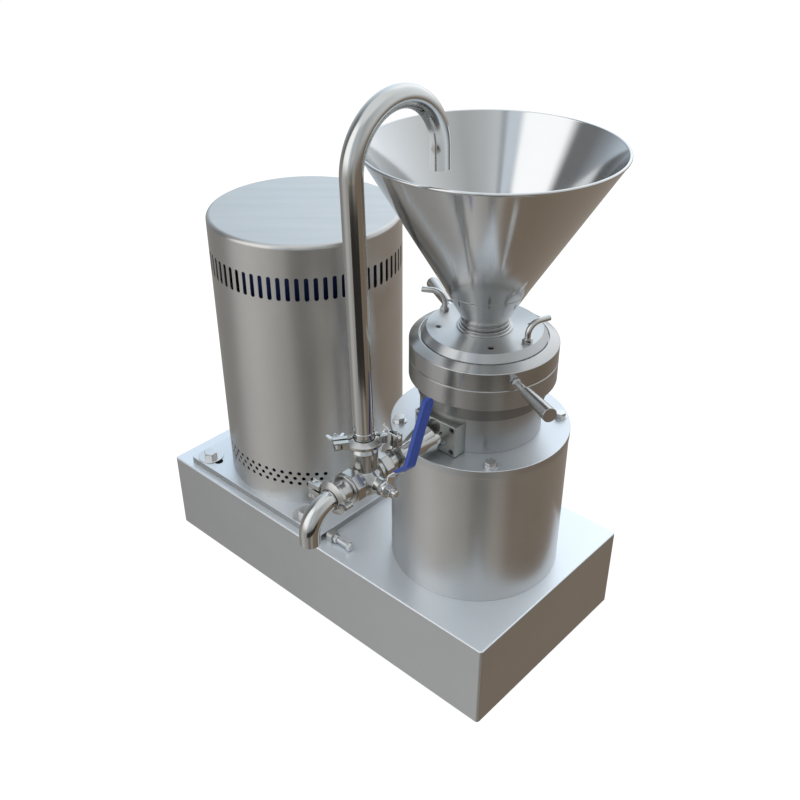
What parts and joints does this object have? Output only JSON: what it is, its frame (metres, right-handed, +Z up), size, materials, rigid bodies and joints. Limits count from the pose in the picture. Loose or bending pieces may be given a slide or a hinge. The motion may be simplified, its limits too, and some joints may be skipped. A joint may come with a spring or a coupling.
{
  "type": "colloid mill",
  "caption": "Stainless colloid mill: slotted motor cover and round mill head on a box base, with a hopper, adjusting ring, three-way discharge valve and return pipe",
  "frame": {"origin": "middle of the base's underside", "axes": "+X from motor to mill, -Y to the discharge side, +Z up"},
  "size_m": [1.0408, 0.756, 1.2757],
  "materials": {
    "satin_steel": "fine brushed stainless sheet",
    "cover_steel": "rolled brushed stainless sheet, upright grain",
    "turned_steel": "turned stainless, ring grain",
    "polished_steel": "polished stainless",
    "fastener_steel": "bright stainless fasteners",
    "motor_paint": "dark blue enamel on castings",
    "shaft_steel": "ground steel",
    "cast_iron": "machined cast iron",
    "black_plastic": "moulded fan",
    "belt_rubber": "wrapped belt rubber",
    "white_seal": "white sealing plastic",
    "carbon_seal": "carbon seal face",
    "blue_sleeve": "dipped blue vinyl sleeve"
  },
  "bodies": {
    "frame": {"base_frame": "satin_steel", "motor_plate": "satin_steel", "plate_bolts": "fastener_steel", "plate_washers": "fastener_steel", "tension_lug": "satin_steel", "tension_bolt": "fastener_steel", "tension_nut": "fastener_steel", "motor_cover": "cover_steel", "motor_flange": "motor_paint", "motor_flange_bolts": "fastener_steel", "motor_frame": "motor_paint", "motor_end_shield": "motor_paint", "fan_cowl": "motor_paint", "motor_bearings": "shaft_steel", "drive_belts": "belt_rubber", "spindle_bearings": "shaft_steel", "bearing_housing": "satin_steel", "mill_stand": "satin_steel", "stand_flange": "satin_steel", "flange_bolts": "fastener_steel", "mill_housing": "turned_steel", "seal_seat": "white_seal", "scale_collar": "turned_steel", "outlet_block": "turned_steel", "outlet_screws": "fastener_steel", "outlet_stub": "polished_steel", "valve_body": "polished_steel", "gland_nut": "fastener_steel", "valve_seats": "white_seal", "clamp_gaskets": "white_seal", "tube_clamps": "polished_steel", "clamp_bolts": "fastener_steel", "spout_elbow": "polished_steel", "return_pipe": "polished_steel"},
    "motor_rotor": {"motor_shaft": "shaft_steel", "motor_rotor_core": "cast_iron", "motor_fan": "black_plastic", "motor_pulley": "cast_iron"},
    "mill_rotor": {"mill_pulley": "cast_iron", "mill_spindle": "shaft_steel", "seal_ring": "carbon_seal", "rotor": "polished_steel", "rotor_nut": "polished_steel"},
    "adjuster": {"adjusting_ring": "turned_steel", "handle_studs": "fastener_steel", "handle_grips": "turned_steel"},
    "stator_head": {"stator": "polished_steel", "head_cover": "polished_steel", "cover_screws": "fastener_steel", "water_nozzles": "polished_steel", "hopper": "polished_steel", "hopper_throat": "polished_steel"},
    "valve_handle": {"valve_ball": "polished_steel", "valve_stem": "fastener_steel", "valve_lever": "fastener_steel", "lever_sleeve": "blue_sleeve", "stem_nut": "fastener_steel"},
    "inlet_wing": {"inlet_wing_nut": "fastener_steel"},
    "top_wing": {"top_wing_nut": "fastener_steel"},
    "outlet_wing": {"outlet_wing_nut": "fastener_steel"}
  },
  "joints": [
    {"name": "motor_spin", "type": "hinge", "parent": "frame", "child": "motor_rotor", "pos_m": [-0.229, 0, 0.4], "axis": [0, 0, 1], "continuous": true},
    {"name": "mill_spin", "type": "hinge", "parent": "frame", "child": "mill_rotor", "pos_m": [0.281, 0, 0.4], "axis": [0, 0, 1], "continuous": true},
    {"name": "ring_turn", "type": "hinge", "parent": "frame", "child": "adjuster", "pos_m": [0.281, 0, 0.72], "axis": [0, 0, 1], "range_deg": [-30, 120]},
    {"name": "stator_lift", "type": "slide", "parent": "frame", "child": "stator_head", "axis": [0, 0, 1], "range_m": [-0.0004, 0.0014]},
    {"name": "lever_turn", "type": "hinge", "parent": "frame", "child": "valve_handle", "pos_m": [0.281, -0.344, 0.584], "axis": [1, 0, 0], "range_deg": [-67, 23]},
    {"name": "inlet_wing_turn", "type": "hinge", "parent": "frame", "child": "inlet_wing", "pos_m": [0.281, -0.262, 0.63225], "axis": [-1, 0, 0], "continuous": true},
    {"name": "top_wing_turn", "type": "hinge", "parent": "frame", "child": "top_wing", "pos_m": [0.25332, -0.38352, 0.666], "axis": [-0.8192, 0.5736, 0], "continuous": true},
    {"name": "outlet_wing_turn", "type": "hinge", "parent": "frame", "child": "outlet_wing", "pos_m": [0.23275, -0.426, 0.584], "axis": [0, 0, -1], "continuous": true}
  ],
  "couplings": [
    {"joint": "mill_spin", "follows": "motor_spin", "ratio": 1.2316},
    {"joint": "stator_lift", "follows": "ring_turn", "m_per_rad": 0.00063662}
  ]
}
